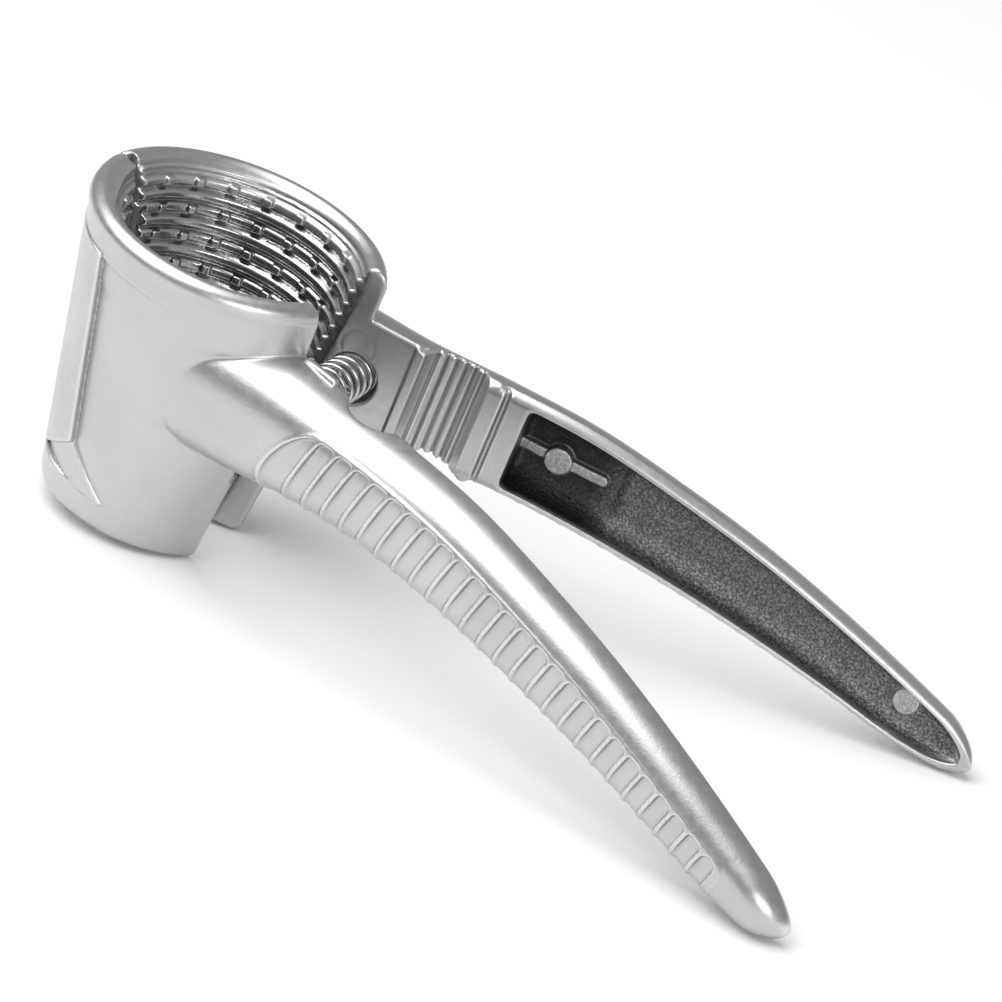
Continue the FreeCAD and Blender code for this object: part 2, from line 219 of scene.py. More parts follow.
# The channel along the handle, and what stands on its floor.
CHANNEL_START = 56.2
CHANNEL_TIP_START = 141.0
CHANNEL_TIP_LENGTH = 7.0
CHANNEL_DROP = 0.2
CHANNEL_SIDE_WALL = 1.75
CHANNEL_BACK_WALL = 2.0
FLOOR_STEP = 1.1
FLOOR_STEP_X = (74.5, 77.0)
BOSS_X, BOSS_Z = 63.6, 36.5
BOSS_RADIUS = 2.5
BOSS_HEIGHT = 2.0
BAR_END_X = 72.0
BAR_HALF_WIDTH = 0.95
BAR_HEIGHT = 1.3
MARK_X, MARK_Z = 135.4, 25.1
MARK_RADIUS = 2.4
MARK_HEIGHT = 0.9

# The grip. A share is of the handle's half height, up from its middle.
GRIP_START = 38.6
GRIP_SLOTS = 25
SLOT_PITCH = 4.12
PITCH_SHRINK = 0.0077
SLOT_WALL = 0.8
SLOT_LEAN = 0.28
SLOT_CORNER = 0.9
LAST_SLOT_CORNER = 1.6
SLOT_TOP_SHARE = 0.54
SLOT_TOP_NARROWING = 0.0025
SLOT_FADE_SHARES = (-0.88, -0.05)
SLOT_FADED = 0.10  # of the slots' depth, what is left at their lower ends
GRIP_DEPTH = 0.85
GRIP_BORDER = 0.9
GRIP_PROUD = 0.16
GRIP_PAST_SLOTS = 1.5
GRIP_END_CORNER = 3.0
GRIP_FROM_PARTING = 3.0
NOSE_LENGTH = 5.4
NOSE_MIDDLE_SHARE = -0.32
NOSE_CORNER = 0.7

GRID_STEP = 0.35


# ---------------------------------------------------------------- distance helpers

def smooth_min(a, b, k):
    """Union of two solids with a fillet of about k."""
    h = np.maximum(k - np.abs(a - b), 0.0) / k
    return np.minimum(a, b) - h * h * k * 0.25


def smooth_max(a, b, k):
    """Intersection of two solids with a rounded edge of about k."""
    return -smooth_min(-a, -b, k)


def ramp(value, low, high):
    """Smooth 0 to 1 as value goes from low to high."""
    t = np.clip((value - low) / (high - low), 0.0, 1.0)
    return t * t * (3 - 2 * t)


def curve_through(xs, ys, x):
    """Smooth curve through the given points (cubic Hermite with central slopes)."""
    slopes = np.gradient(ys, xs)
    x = np.clip(x, xs[0], xs[-1])
    i = np.clip(np.searchsorted(xs, x) - 1, 0, len(xs) - 2)
    width = xs[i + 1] - xs[i]
    t = (x - xs[i]) / width
    t2, t3 = t * t, t * t * t
    start = (2 * t3 - 3 * t2 + 1) * ys[i] + (t3 - 2 * t2 + t) * width * slopes[i]
    end = (3 * t2 - 2 * t3) * ys[i + 1] + (t3 - t2) * width * slopes[i + 1]
    return start + end


def rounded_box(dx, dy, dz, half_x, half_y, half_z, radius):
    """Distance to a box with rounded edges, from offsets to its centre."""
    qx = np.abs(dx) - (half_x - radius)
    qy = np.abs(dy) - (half_y - radius)
    qz = np.abs(dz) - (half_z - radius)
    outside = np.sqrt(np.maximum(qx, 0) ** 2 + np.maximum(qy, 0) ** 2 + np.maximum(qz, 0) ** 2)
    return outside + np.minimum(np.maximum(qx, np.maximum(qy, qz)), 0) - radius


def station(x):
    """Handle's middle height, half height and depth at x."""
    xs = HANDLE_STATIONS[:, 0]
    top = curve_through(xs, HANDLE_STATIONS[:, 1], x)
    bottom = curve_through(xs, HANDLE_STATIONS[:, 2], x)
    depth = curve_through(xs, HANDLE_STATIONS[:, 3], x)
    return (top + bottom) / 2, (top - bottom) / 2, depth


def d_section(y, z, middle, half, depth):
    """Signed distance to a D-shaped bar whose back is a superellipse."""
    half = np.maximum(half, 0.05)
    depth = np.maximum(depth, 0.05)
    a = np.abs(y) / depth
    b = np.abs(z - middle) / half
    n = SECTION_POWER
    s = np.maximum((a ** n + b ** n) ** (1 / n), 1e-4)
    slope = np.hypot((a / s) ** (n - 1) / depth, (b / s) ** (n - 1) / half)
    return (s - 1) / np.maximum(slope, 0.05)


# ---------------------------------------------------------------- the cup

def cone_distance(x, y, z, proud=0.0, shift=0.0):
    """Distance to the cup's cone, made wider by proud and moved back by shift."""
    slope = (RIM_RADIUS - FOOT_RADIUS) / CUP_HEIGHT
    r = np.hypot(x + shift, y - ARC_OFFSET)
    return (r - FOOT_RADIUS - slope * z - proud) / math.hypot(1, slope)


def cavity_radius(z):
    """The funnel's radius at the ridges' crests."""
    return OUTLET_RADIUS + (MOUTH_RADIUS - OUTLET_RADIUS) * np.minimum(z, LIP_BOTTOM) / CUP_HEIGHT


def cavity_distance(x, y, z):
    """Ridged funnel wall: negative inside the cavity."""
    r = np.hypot(x, y - ARC_OFFSET)
    turn = (FIRST_CREST - z) / RIDGE_PITCH
    from_crest = 2 * np.abs(turn - np.round(turn))
    plain = np.round(turn) % 2
    groove = RIDGE_DEPTH * ramp(from_crest, *RIDGE_FLANK) - PLAIN_RIDGE_PROUD * plain
    groove = groove * ramp(z, LAST_RIDGE, LAST_RIDGE + RIDGE_FADE)
    ridged = np.where(x > 0, ramp(-y, *BORDER_SPAN_Y), 1.0)
    groove = groove * ridged + BORDER_DEPTH * (1 - ridged)
    lip = LIP_DEPTH * ramp(z, LIP_BOTTOM - LIP_EDGE, LIP_BOTTOM + LIP_EDGE)
    thick = OUTLET_THICKENING * (1 - ramp(z, *OUTLET_SPAN_Z)) * ramp(x, *OUTLET_SPAN_X)
    wall = cavity_radius(z) + np.where(z < LIP_BOTTOM, groove, lip)
    return (r - wall + thick) * STEEPNESS_SHARE


def teeth_distance(x, y, z):
    """Square teeth on every second ridge."""
    pitch = 2 * RIDGE_PITCH
    row = np.clip(np.round((FIRST_CREST - z) / pitch), 0, TOOTH_ROWS - 1)
    crest = FIRST_CREST - row * pitch
    r = np.hypot(x, y - ARC_OFFSET)
    angle = np.arctan2(x, ARC_OFFSET - y) - TOOTH_COLUMN_START
    column = np.clip(np.round(angle / TOOTH_COLUMN), -TOOTH_COLUMNS_EACH_WAY, TOOTH_COLUMNS_EACH_WAY)
    along = (angle - column * TOOTH_COLUMN) * r
    out = r - cavity_radius(crest) - TOOTH_SINK
    return rounded_box(out, along, z - crest, *TOOTH_HALF_SIZE, TOOTH_ROUNDING)


def rim(x, y, z, flat_width):
    """Rounded bead outside, a low ledge inside, and a flat top of that width at the hinge end."""
    r = np.hypot(x + RIM_SHIFT, y - ARC_OFFSET)
    bead_middle = RIM_RADIUS + BEAD_PROUD - BEAD_RADIUS
    bead = np.hypot(r - bead_middle, z - (CUP_HEIGHT - BEAD_RADIUS)) - BEAD_RADIUS
    ledge = np.maximum(r - (RIM_RADIUS - LEDGE_INSET), np.abs(z - LEDGE_MIDDLE) - LEDGE_HALF_HEIGHT)
    inner = RIM_RADIUS - BEAD_RADIUS - flat_width * ramp(-x, *FLAT_SPAN_X)
    across = np.maximum(r - (RIM_RADIUS - FLAT_INSET), inner - r)
    flat = smooth_max(across, np.abs(z - FLAT_MIDDLE) - FLAT_HALF_HEIGHT, 0.5)
    return smooth_min(smooth_min(bead, ledge, 0.5), flat, 0.5)


def hinge_panel(x, y, z):
    """Raised panel over the hinge, a facet below its sloping lower edge, and the foot band under it."""
    corner_x, corner_z = PANEL_CORNER
    left_x, left_z = PANEL_LEFT
    point_x, point_z = FACET_POINT
    rise = (corner_z - left_z) / (corner_x - left_x)
    below = (left_z + (x - left_x) * rise - z) / math.hypot(1, rise)
    edge = x - corner_x + PANEL_EDGE_LEAN * (z - corner_z)
    panel = smooth_max(cone_distance(x, y, z, PANEL_PROUD), edge, 0.6)
    panel = smooth_max(panel, np.where(x < left_x, left_z - z, below), 0.5)
    panel = smooth_max(panel, z - COLLAR_BOTTOM - PANEL_OVERLAP, 0.5)
    run = (point_x - corner_x) / (corner_z - point_z)
    front = (x - corner_x - (corner_z - z) * run) / math.hypot(1, run)
    facet = smooth_max(cone_distance(x, y, z, FACET_PROUD), front, 0.4)
    facet = smooth_max(facet, np.maximum(z - corner_z - FACET_ABOVE, point_z - FACET_BELOW - z), 0.4)
    proud = FOOT_BAND_PROUD * ramp(point_x - x, 0, FOOT_BAND_FADE)
    foot = smooth_max(cone_distance(x, y, z, proud), z - point_z, 0.6)
    return np.minimum(np.minimum(panel, facet), foot)


def cup(x, y, z, flat_width):
    """The cup's solid outside: cone wall, cheek beside the handle, collar, hinge panel and rim."""
    body = smooth_max(cone_distance(x, y, z), z - WALL_TOP, 0.4)
    cheek_proud = (CHEEK_PROUD + CHEEK_FLARE * (CHEEK_FLARE_TOP - z)) * ramp(x, *CHEEK_SPAN_X)
    cheek = smooth_max(cone_distance(x, y, z, cheek_proud), CHEEK_BOTTOM - z, 3.0)
    cheek = smooth_max(cheek, z - COLLAR_TOP, 0.4)
    collar = smooth_max(cone_distance(x, y, z, COLLAR_PROUD, COLLAR_SHIFT), COLLAR_BOTTOM - z, 0.5)
    collar = smooth_max(collar, z - COLLAR_TOP, 0.4)
    body = smooth_min(body, cheek, 1.0)
    body = smooth_min(body, collar, 0.2)
    body = smooth_min(body, hinge_panel(x, y, z), 0.25)
    body = smooth_min(body, rim(x, y, z, flat_width), 0.35)
    return smooth_max(body, -z, FOOT_ROUNDING)


# ---------------------------------------------------------------- the handle

def handle_outside(x, y, z):
    """The solid bar of the handle, with a rounded tip and a chamfer along the parting plane."""
    middle, half, depth = station(x)
    past = np.clip((x - (HANDLE_END - TIP_LENGTH)) / TIP_LENGTH, 0, 1)
    round_off = np.sqrt(np.maximum(1 - past ** 2, 0))
    chamfer = EDGE_CHAMFER * np.clip((CHAMFER_REACH + y) / CHAMFER_REACH, 0, 1) * ramp(x, *CHAMFER_SPAN_X)
    bar = d_section(y, z, middle, (half - chamfer) * round_off, depth * round_off)
    return np.maximum(bar, HANDLE_START - x)


def slot_place(number):
    """Where the grip's slots start and end along it: their spacing shrinks as the handle bends down."""
    return GRIP_START + SLOT_PITCH * number - PITCH_SHRINK * number ** 2


def slot_number(along):
    """The number, with its fraction, of the slot at that place: slot_place turned round."""
    inside = SLOT_PITCH ** 2 - 4 * PITCH_SHRINK * (along - GRIP_START)
    return (SLOT_PITCH - np.sqrt(np.maximum(inside, 0))) / (2 * PITCH_SHRINK)


def rounded_corner(a, b, radius):
    """Intersection of two regions with a round corner between them."""
    qa, qb = a + radius, b + radius
    return np.hypot(np.maximum(qa, 0), np.maximum(qb, 0)) + np.minimum(np.maximum(qa, qb), 0) - radius


def grip(outside, x, y, z):
    """Grip field with a thin raised border, a D-shaped hollow at its start and a row of sunk slots."""
    middle, half, _ = station(x)
    rise = z - middle
    along = x - SLOT_LEAN * rise
    from_start = along - GRIP_START
    slot_top = half * (SLOT_TOP_SHARE - SLOT_TOP_NARROWING * from_start)
    end = slot_place(GRIP_SLOTS)
    nose_middle = NOSE_MIDDLE_SHARE * half
    nose_half = slot_top - nose_middle
    nose_rise = rise - nose_middle
    nose = np.hypot(from_start / (NOSE_LENGTH + GRIP_BORDER), nose_rise / (nose_half + GRIP_BORDER))
    straight = smooth_max(rise - slot_top - GRIP_BORDER, along - end - GRIP_PAST_SLOTS, GRIP_END_CORNER)
    field = np.where(from_start < 0, (nose - 1) * NOSE_LENGTH, straight)
    raised = smooth_max(np.maximum(field, y + GRIP_FROM_PARTING), outside - GRIP_PROUD, 0.45)
    body = smooth_min(outside, raised, 0.15)

    hollow = (np.hypot(from_start / NOSE_LENGTH, nose_rise / nose_half) - 1) * NOSE_LENGTH
    hollow = rounded_corner(hollow, from_start + SLOT_WALL / 2, NOSE_CORNER)
    index = np.clip(np.floor(slot_number(along)), 0, GRIP_SLOTS - 1)
    left, right = slot_place(index), slot_place(index + 1)
    from_middle = np.abs(along - (left + right) / 2) - (right - left - SLOT_WALL) / 2
    corner = np.where(index == GRIP_SLOTS - 1, LAST_SLOT_CORNER, SLOT_CORNER)
    slot = rounded_corner(from_middle, rise - slot_top, corner)
    faded_at, full_at = SLOT_FADE_SHARES
    fade = SLOT_FADED + (1 - SLOT_FADED) * ramp(rise, faded_at * half, full_at * half)
    sunk = smooth_max(np.minimum(slot, hollow), -(outside + GRIP_DEPTH * fade), 0.5)
    return smooth_max(body, -sunk, 0.35)


def inner_face_depth(x, z, rib_fade=1.0):
    """How deep the handle's inner side lies: plate with ring, recess with ribs, groove and land."""
    plate = PLATE_DEPTH * (1 - ramp(x, *PLATE_END_X))
    ring = RING_DEPTH * np.exp(-((np.hypot(x - RING_X, z - RING_Z) - RING_RADIUS) / RING_WIDTH) ** 2)
    half = (RECESS_END - RECESS_START) / 2
    radius = (half ** 2 + RECESS_DEPTH ** 2) / (2 * RECESS_DEPTH)
    offset = np.minimum(np.abs(x - (RECESS_START + RECESS_END) / 2), half)
    bowl = np.sqrt(np.maximum(radius ** 2 - offset ** 2, 0)) - (radius - RECESS_DEPTH)
    wave = 0.5 + 0.5 * np.cos(2 * math.pi * (x - RECESS_START) / RECESS_RIB_PITCH)
    rib_fade = ramp(offset, half, half - RIB_END_FADE) * rib_fade
    bowl = bowl + RIB_GROOVE_DEPTH * wave ** RIB_GROOVE_POWER * rib_fade
    groove = LAND_GROOVE_DEPTH * ramp(x, *LAND_GROOVE_START_X) * (1 - ramp(x, *LAND_GROOVE_END_X))
    return plate + ring + bowl + groove + LAND_DEPTH * ramp(x, *LAND_START_X)


def channel_floor(x, depth):
    """How far the channel's floor lies from the parting plane."""
    return depth - CHANNEL_BACK_WALL - FLOOR_STEP * ramp(x, *FLOOR_STEP_X)


def channel_distance(x, y, z):
    """Hollow along the handle, with a boss, its bar and an ejector mark left standing."""
    middle, half, depth = station(x)
    past = np.clip((x - CHANNEL_TIP_START) / CHANNEL_TIP_LENGTH, 0, 1)
    round_off = np.sqrt(np.maximum(1 - past ** 2, 0))
    floor = channel_floor(x, depth)
    half_inside = half - CHANNEL_SIDE_WALL
    hollow = d_section(y, z, middle - CHANNEL_DROP, half_inside * round_off, floor * round_off)
    hollow = smooth_max(hollow, CHANNEL_START - x, 1.6)
    return smooth_max(hollow, -channel_marks(x, y, z, floor), 0.3)


def channel_marks(x, y, z, floor):
    """The boss, its bar and the ejector mark, standing from the channel's floor (deep is -Y)."""
    height = y + floor
    boss = smooth_max(np.hypot(x - BOSS_X, z - BOSS_Z) - BOSS_RADIUS, height - BOSS_HEIGHT, 0.3)
    bar = np.hypot(np.maximum(x - BAR_END_X, 0), z - BOSS_Z) - BAR_HALF_WIDTH
    bar = smooth_max(bar, height - BAR_HEIGHT, 0.3)
    mark = smooth_max(np.hypot(x - MARK_X, z - MARK_Z) - MARK_RADIUS, height - MARK_HEIGHT, 0.3)
    return np.minimum(np.minimum(boss, bar), mark)


# ---------------------------------------------------------------- the hinge

def hinge_frame(x, y, z):
    """(across, out from the parting plane, along) the leaning hinge line."""
    length = math.hypot(1, HINGE_LEAN)
    dx = x - HINGE_FOOT_X
    return (dx + HINGE_LEAN * z) / length, y, (z - HINGE_LEAN * dx) / length


def between(w, start, end):
    """Negative where w lies from start to end."""
    return np.maximum(start - w, w - end)


def with_knuckles(body, x, y, z, own, other):
    """The body with its own knuckles, pockets and windows for the other jaw's, and the pin's bore."""
    u, v, w = hinge_frame(x, y, z)
    from_line = np.hypot(u, v)
    for start, end in other:
        beside = between(w, start - POCKET_END_GAP, end + POCKET_END_GAP)
        pocket = np.maximum(from_line - BARREL_POCKET_RADIUS, beside)
        window = np.maximum(np.maximum(np.abs(v) - BARREL_POCKET_RADIUS, -u), u - POCKET_WINDOW)
        window = np.maximum(window, beside)
        body = smooth_max(body, -np.minimum(pocket, window), 0.25)
    for start, end in own:
        barrel = smooth_max(from_line - BARREL_RADIUS, between(w, start, end), 0.3)
        body = smooth_min(body, barrel, 0.25)
    return np.maximum(body, BORE_RADIUS - from_line)


def parting_distance(x, y, z, plain_top):
    """Parting side of the jaw: its inner face, bent back behind the hinge line."""
    u, v, _ = hinge_frame(x, y, z)
    middle, half, _ = station(x)
    rib_fade = ramp(middle + half - z, *RIB_TOP_FADE) if plain_top else 1.0
    depth = np.where(z > INNER_SIDE_BOTTOM, inner_face_depth(x, z, rib_fade), 0)
    behind = (v + FACE_GAP) * math.cos(REST_STOP) - u * math.sin(REST_STOP)
    return np.maximum(v + FACE_GAP + depth, behind)


def jaw(x, y, z, own, other, flat_width, plain_top):
    """Signed distance to one jaw, drawn on the near side of the parting plane."""
    outside = handle_outside(x, y, z)
    past_end = np.maximum(between(z, WIDE_RIDGE_BOTTOM, WIDE_RIDGE_TOP), 0)
    from_ridge = np.sqrt((x - WIDE_RIDGE_X) ** 2 + (y - WIDE_RIDGE_Y) ** 2 + past_end ** 2)
    ridge = from_ridge - WIDE_RIDGE_RADIUS
    widening = ramp(x, HANDLE_START, ROOT_FILLET_WIDEST_X)
    narrowing = 1 - ramp(x, ROOT_FILLET_WIDEST_X, ROOT_FILLET_END_X)
    fillet = ROOT_FILLET + ROOT_FILLET_EXTRA * widening * narrowing
    body = smooth_min(cup(x, y, z, flat_width), grip(outside, x, y, z), fillet)
    body = smooth_min(body, ridge, 0.4)
    if plain_top:
        offsets = [value - centre for value, centre in zip((x, y, z), SHOULDER_CENTRE)]
        body = smooth_min(body, rounded_box(*offsets, *SHOULDER_HALF_SIZE, SHOULDER_ROUNDING), 0.5)
    u, v, w = hinge_frame(x, y, z)
    housing = smooth_max(np.hypot(u, v) - HOUSING_RADIUS, w - HOUSING_TOP, 0.5)
    body = smooth_min(body, np.maximum(housing, -z), 0.6)
    body = smooth_max(body, -cavity_distance(x, y, z), 0.35)
    body = smooth_min(body, teeth_distance(x, y, z), 0.25)
    body = smooth_max(body, parting_distance(x, y, z, plain_top), 0.9)
    hole = np.hypot(x - SPRING_X, z - SPRING_Z) - SPRING_HOLE_RADIUS
    hole = np.maximum(hole, -(y + SPRING_HOLE_DEPTH))
    body = smooth_max(body, -hole, 0.5)
    body = smooth_max(body, -channel_distance(x, y, z), 0.7)
    return with_knuckles(body, x, y, z, own, other)


# ---------------------------------------------------------------- from distance to mesh

# The box that is sampled holds one jaw, drawn on the near side of the parting plane.
LOWEST = np.array([-30.0, -22.0, -1.0])
HIGHEST = np.array([153.0, 3.4, 58.5])
CORNERS = [np.array((i, j, k)) for i in (0, 1) for j in (0, 1) for k in (0, 1)]
AXES = np.eye(3, dtype=int)
CORNER_STEP = (4, 2, 1)  # how much further on in CORNERS the next corner along each axis is
HALVINGS = 3
REACH = 1.5
LONGEST_MOVE = 0.6
SLOPE_SPAN = 0.12
BEND_SPAN = 0.25
BEND_RANGE = (0.5, 3.0)  # one over millimetres: from hardly bent to a sharp edge


def sample(distance, step):
    """Distance on a regular grid over the jaw, in full detail only near the surface."""
    block = 2 ** HALVINGS
    blocks = np.ceil((HIGHEST - LOWEST) / (step * block)).astype(int)
    value = np.empty(tuple(blocks * block), np.float32)
    cells = np.indices(blocks).reshape(3, -1).T
    while block >= 1:
        middle = (LOWEST + step * (cells * block + (block - 1) / 2)).astype(np.float32)
        here = distance(*middle.T)
        in_blocks = value.reshape([n for size in value.shape for n in (size // block, block)])
        in_blocks[cells[:, 0], :, cells[:, 1], :, cells[:, 2], :] = here[:, None, None, None]
        close = cells[np.abs(here) < REACH * step * block * math.sqrt(3) / 2]
        cells = (2 * close[:, None, :] + np.array(CORNERS)).reshape(-1, 3)
        block //= 2
    return value


def surface_net(distance, step):
    """Quads on the zero surface of a distance: one point in each grid cell the surface crosses."""
    value = sample(distance, step)
    inside = value < 0
    cells_shape = [n - 1 for n in value.shape]
    count = np.zeros(cells_shape, np.int8)
    for c in CORNERS:
        count += inside[tuple(slice(c[a], c[a] + cells_shape[a]) for a in range(3))]
    cells = np.argwhere((count > 0) & (count < 8))
    number = np.full(cells_shape, -1, np.int64)
    number[tuple(cells.T)] = np.arange(len(cells))

    corner_value = [value[tuple((cells + c).T)].astype(float) for c in CORNERS]
    total = np.zeros((len(cells), 3))
    crossings = np.zeros(len(cells))
    for a, corner in enumerate(CORNERS):
        for axis in range(3):
            if corner[axis]:
                continue
            va, vb = corner_value[a], corner_value[a + CORNER_STEP[axis]]
            crossed = (va < 0) != (vb < 0)
            t = np.where(crossed, va / np.where(crossed, va - vb, 1), 0)
            total += crossed[:, None] * (corner + t[:, None] * AXES[axis])
            crossings += crossed
    points = LOWEST + step * (cells + total / crossings[:, None])

    quads = []
    for axis in range(3):
        one, two = AXES[(axis + 1) % 3], AXES[(axis + 2) % 3]
        low = inside[tuple(slice(int(one[a] + two[a]), cells_shape[a]) for a in range(3))]
        high = inside[tuple(slice(int(one[a] + two[a]) + AXES[axis][a], cells_shape[a] + AXES[axis][a])
                            for a in range(3))]
        edges = np.argwhere(low != high)
        starts_inside = low[tuple(edges.T)]
        at = edges + one + two
        around = [number[tuple((at - shift).T)] for shift in (0 * one, one, one + two, two)]
        loop = np.stack(around, 1)
        loop[~starts_inside] = loop[~starts_inside][:, ::-1]
        quads.append(loop)
    return points, np.concatenate(quads)


def slopes_and_bend(distance, points, h):
    """Gradient and curvature of a distance at the points, by central differences."""
    here = distance(*points.T)
    ahead = [distance(*(points + h * AXES[a]).T) for a in range(3)]
    behind = [distance(*(points - h * AXES[a]).T) for a in range(3)]
    gradient = np.stack([(f - b) / (2 * h) for f, b in zip(ahead, behind)], 1)
    bend = (sum(ahead) + sum(behind) - 6 * here) / h ** 2
    return here, gradient, bend


def relaxed(points, quads):
    """Points moved half way to the middle of their neighbours."""
    start = quads.ravel()
    end = np.roll(quads, -1, 1).ravel()
    both = np.concatenate((start, end)), np.concatenate((end, start))
    count = np.bincount(both[0], minlength=len(points))
    middle = [np.bincount(both[0], points[both[1], a], len(points)) / count for a in range(3)]
    return (points + np.stack(middle, 1)) / 2


def onto_surface(distance, points, longest):
    """Points moved along the slope to where the distance is zero, but no further than longest."""
    here, gradient, _ = slopes_and_bend(distance, points, SLOPE_SPAN)
    steep = np.maximum((gradient ** 2).sum(1), 0.25)
    move = -(here / steep)[:, None] * gradient
    length = np.linalg.norm(move, axis=1)[:, None]
    return points + move * np.minimum(1, longest / np.maximum(length, 1e-6))


def cast_mesh(distance, step):
    """Points, quads, smooth normals and bend of a solid's surface, sampled at that step."""
    points, quads = surface_net(distance, step)
    points = onto_surface(distance, points, LONGEST_MOVE * step)
    points = onto_surface(distance, relaxed(points, quads), LONGEST_MOVE * step)
    _, gradient, bend = slopes_and_bend(distance, points, BEND_SPAN)
    normals = gradient / np.maximum(np.linalg.norm(gradient, axis=1), 1e-6)[:, None]
    return points, quads, normals, bend


# ---------------------------------------------------------------- placing in the row frame

joint = frame["joints"][0]
hinge_point = Vector(joint["pos_m"])
hinge_axis = Vector(joint["axis"])
CLOSED_AXIS = Vector((-HINGE_LEAN, 0, 1)).normalized()
CLOSED_FOOT = Vector((HINGE_FOOT_X, 0, 0))
TABLE_TILT = math.atan(HINGE_LEAN) - math.atan2(-hinge_axis.x, hinge_axis.z)


def to_row(side):
    """Matrix from closed-jaw millimetres to the row frame for one side of the hinge (0: the middle)."""
    closed_point = CLOSED_FOOT + CLOSED_AXIS * JOINT_POINT_UP
    turn = Matrix.Rotation(TABLE_TILT, 4, "Y") @ Matrix.Rotation(side * HALF_OPENING, 4, CLOSED_AXIS)
    return (Matrix.Translation(hinge_point) @ turn @ Matrix.Scale(MM, 4)
            @ Matrix.Translation(-closed_point))


# Where one finish, painted shade and painted light give way to the next, in millimetres: along X, up Z,
# or away from a surface.
SHADE_END_X = (70, 78)
FUNNEL_OUT = (0.3, 1.1)
FUNNEL_TOP_Z = (51.5, 53.0)
FUNNEL_END_X = (22.5, 24.5)
HOLLOW_OUT = (0.0, 0.5)
HOLLOW_EDGE_Y = (0.9, 2.2)
HOLLOW_START_X = (55.5, 56.5)
INNER_DEPTH = (0.3, 0.7)
INNER_START_X = (15, 19)
LIT_MARK_OUT = (0.0, 0.2)


def zones(points):
    """Where each finish, painted shade and painted light lies, from 0 to 1 at each point."""
    x, y, z = points.T
    shade = 1 - ramp(x, *SHADE_END_X)
    funnel = (1 - ramp(cavity_distance(x, y, z), *FUNNEL_OUT)) * (1 - ramp(z, *FUNNEL_TOP_Z))
    funnel = funnel * (1 - ramp(x, *FUNNEL_END_X))
    hollow = (1 - ramp(channel_distance(x, y, z), *HOLLOW_OUT)) * ramp(-y, *HOLLOW_EDGE_Y)
    hollow = hollow * ramp(x, *HOLLOW_START_X)
    inner = (1 - ramp(-y - inner_face_depth(x, z), *INNER_DEPTH)) * ramp(x, *INNER_START_X)
    _, _, depth = station(x)
    # Painted light on the boss, bar and ejector mark standing in the channel.
    lit_marks = 1 - ramp(channel_marks(x, y, z, channel_floor(x, depth)), *LIT_MARK_OUT)
    return {"funnel": funnel, "hollow": hollow, "inner": inner, "shade": shade, "mark": lit_marks}


def fill_mesh(mesh, points, faces):
    """The points and smooth faces put into an empty mesh."""
    corners = faces.shape[1]
    mesh.vertices.add(len(points))
    mesh.vertices.foreach_set("co", points.astype(np.float32).ravel())
    mesh.loops.add(faces.size)
    mesh.loops.foreach_set("vertex_index", faces.ravel().astype(np.int32))
    mesh.polygons.add(len(faces))
    mesh.polygons.foreach_set("loop_start", np.arange(0, faces.size, corners, dtype=np.int32))
    mesh.polygons.foreach_set("use_smooth", np.ones(len(faces), bool))
    mesh.update(calc_edges=True)


def add_mesh(name, points, faces, matrix, material, flip=False):
    mesh = bpy.data.meshes.new(name)
    turn = np.array(matrix)
    fill_mesh(mesh, points @ turn[:3, :3].T + turn[:3, 3], faces[:, ::-1] if flip else faces)
    mesh.materials.append(material)
    obj = bpy.data.objects.new(name, mesh)
    bpy.context.scene.collection.objects.link(obj)
    return obj


def set_value(obj, name, values):
    """A value for each point, for the material to read."""
    layer = obj.data.attributes.new(name, "FLOAT", "POINT")
    layer.data.foreach_set("value", np.asarray(values, np.float32))


def make_jaw(name, side, own, other, flat_width, plain_top, material):
    """One casting. The far jaw (side 1) is drawn as a near jaw (side -1) and mirrored."""
    def distance(x, y, z):
        return jaw(x, y, z, own, other, flat_width, plain_top)

    points, faces, normals, bend = cast_mesh(distance, GRID_STEP)
    finish_and_painted_light = zones(points)
    mirrored = side > 0
    if mirrored:
        points = points * (1, -1, 1)
        normals = normals * (1, -1, 1)
    matrix = to_row(side)
    obj = add_mesh(name, points, faces, matrix, material, flip=mirrored)
    turn = np.array(matrix)[:3, :3] / MM
    obj.data.normals_split_custom_set_from_vertices((normals @ turn.T).tolist())
    set_value(obj, "edge", ramp(bend, *BEND_RANGE))
    # Concave creases get painted shade; convex edges get a lighter colour, partly wear and partly painted
    # highlight.
    set_value(obj, "crease_shade", ramp(-bend, *BEND_RANGE))
    for zone, values in finish_and_painted_light.items():
        set_value(obj, zone, values)
    return obj


# ---------------------------------------------------------------- materials

# Colours are linear. Noise scales are in waves to the metre, and bump heights in metres.
PLATING_DARK = (0.50, 0.50, 0.505)
PLATING_LIGHT = (0.56, 0.56, 0.565)
# Painted shade on the handles' parting faces, which face the other jaw.
SHADED_INNER_PLATING = (0.47, 0.47, 0.475)
# Painted shade inside the cup's ridged funnel.
SHADED_FUNNEL_PLATING = (0.37, 0.37, 0.375)
# Grainy cast in the handle's channel; its darkness is partly painted shade.
DARK_CAST_AND_SHADE = (0.10, 0.10, 0.10), (0.32, 0.32, 0.32)
# Painted light on the marks standing in the channel.
LIT_CAST = (0.34, 0.34, 0.34), (0.58, 0.58, 0.58)
SHADED_CAST = (0.02, 0.02, 0.02)
# Painted shade, laid into concave creases.
PAINTED_CREASE_SHADE = (0.22, 0.22, 0.22)
# Lighter convex edges: partly wear, partly painted highlight.
WORN_EDGE_AND_HIGHLIGHT = (0.88, 0.88, 0.88)
PIN_STEEL = (0.62, 0.62, 0.63)
SPRING_STEEL = (0.60, 0.60, 0.61)
FLOOR_DARK = (0.90, 0.90, 0.90)
FLOOR_LIGHT = (0.92, 0.92, 0.92)
SHADE_SHARE = 0.85
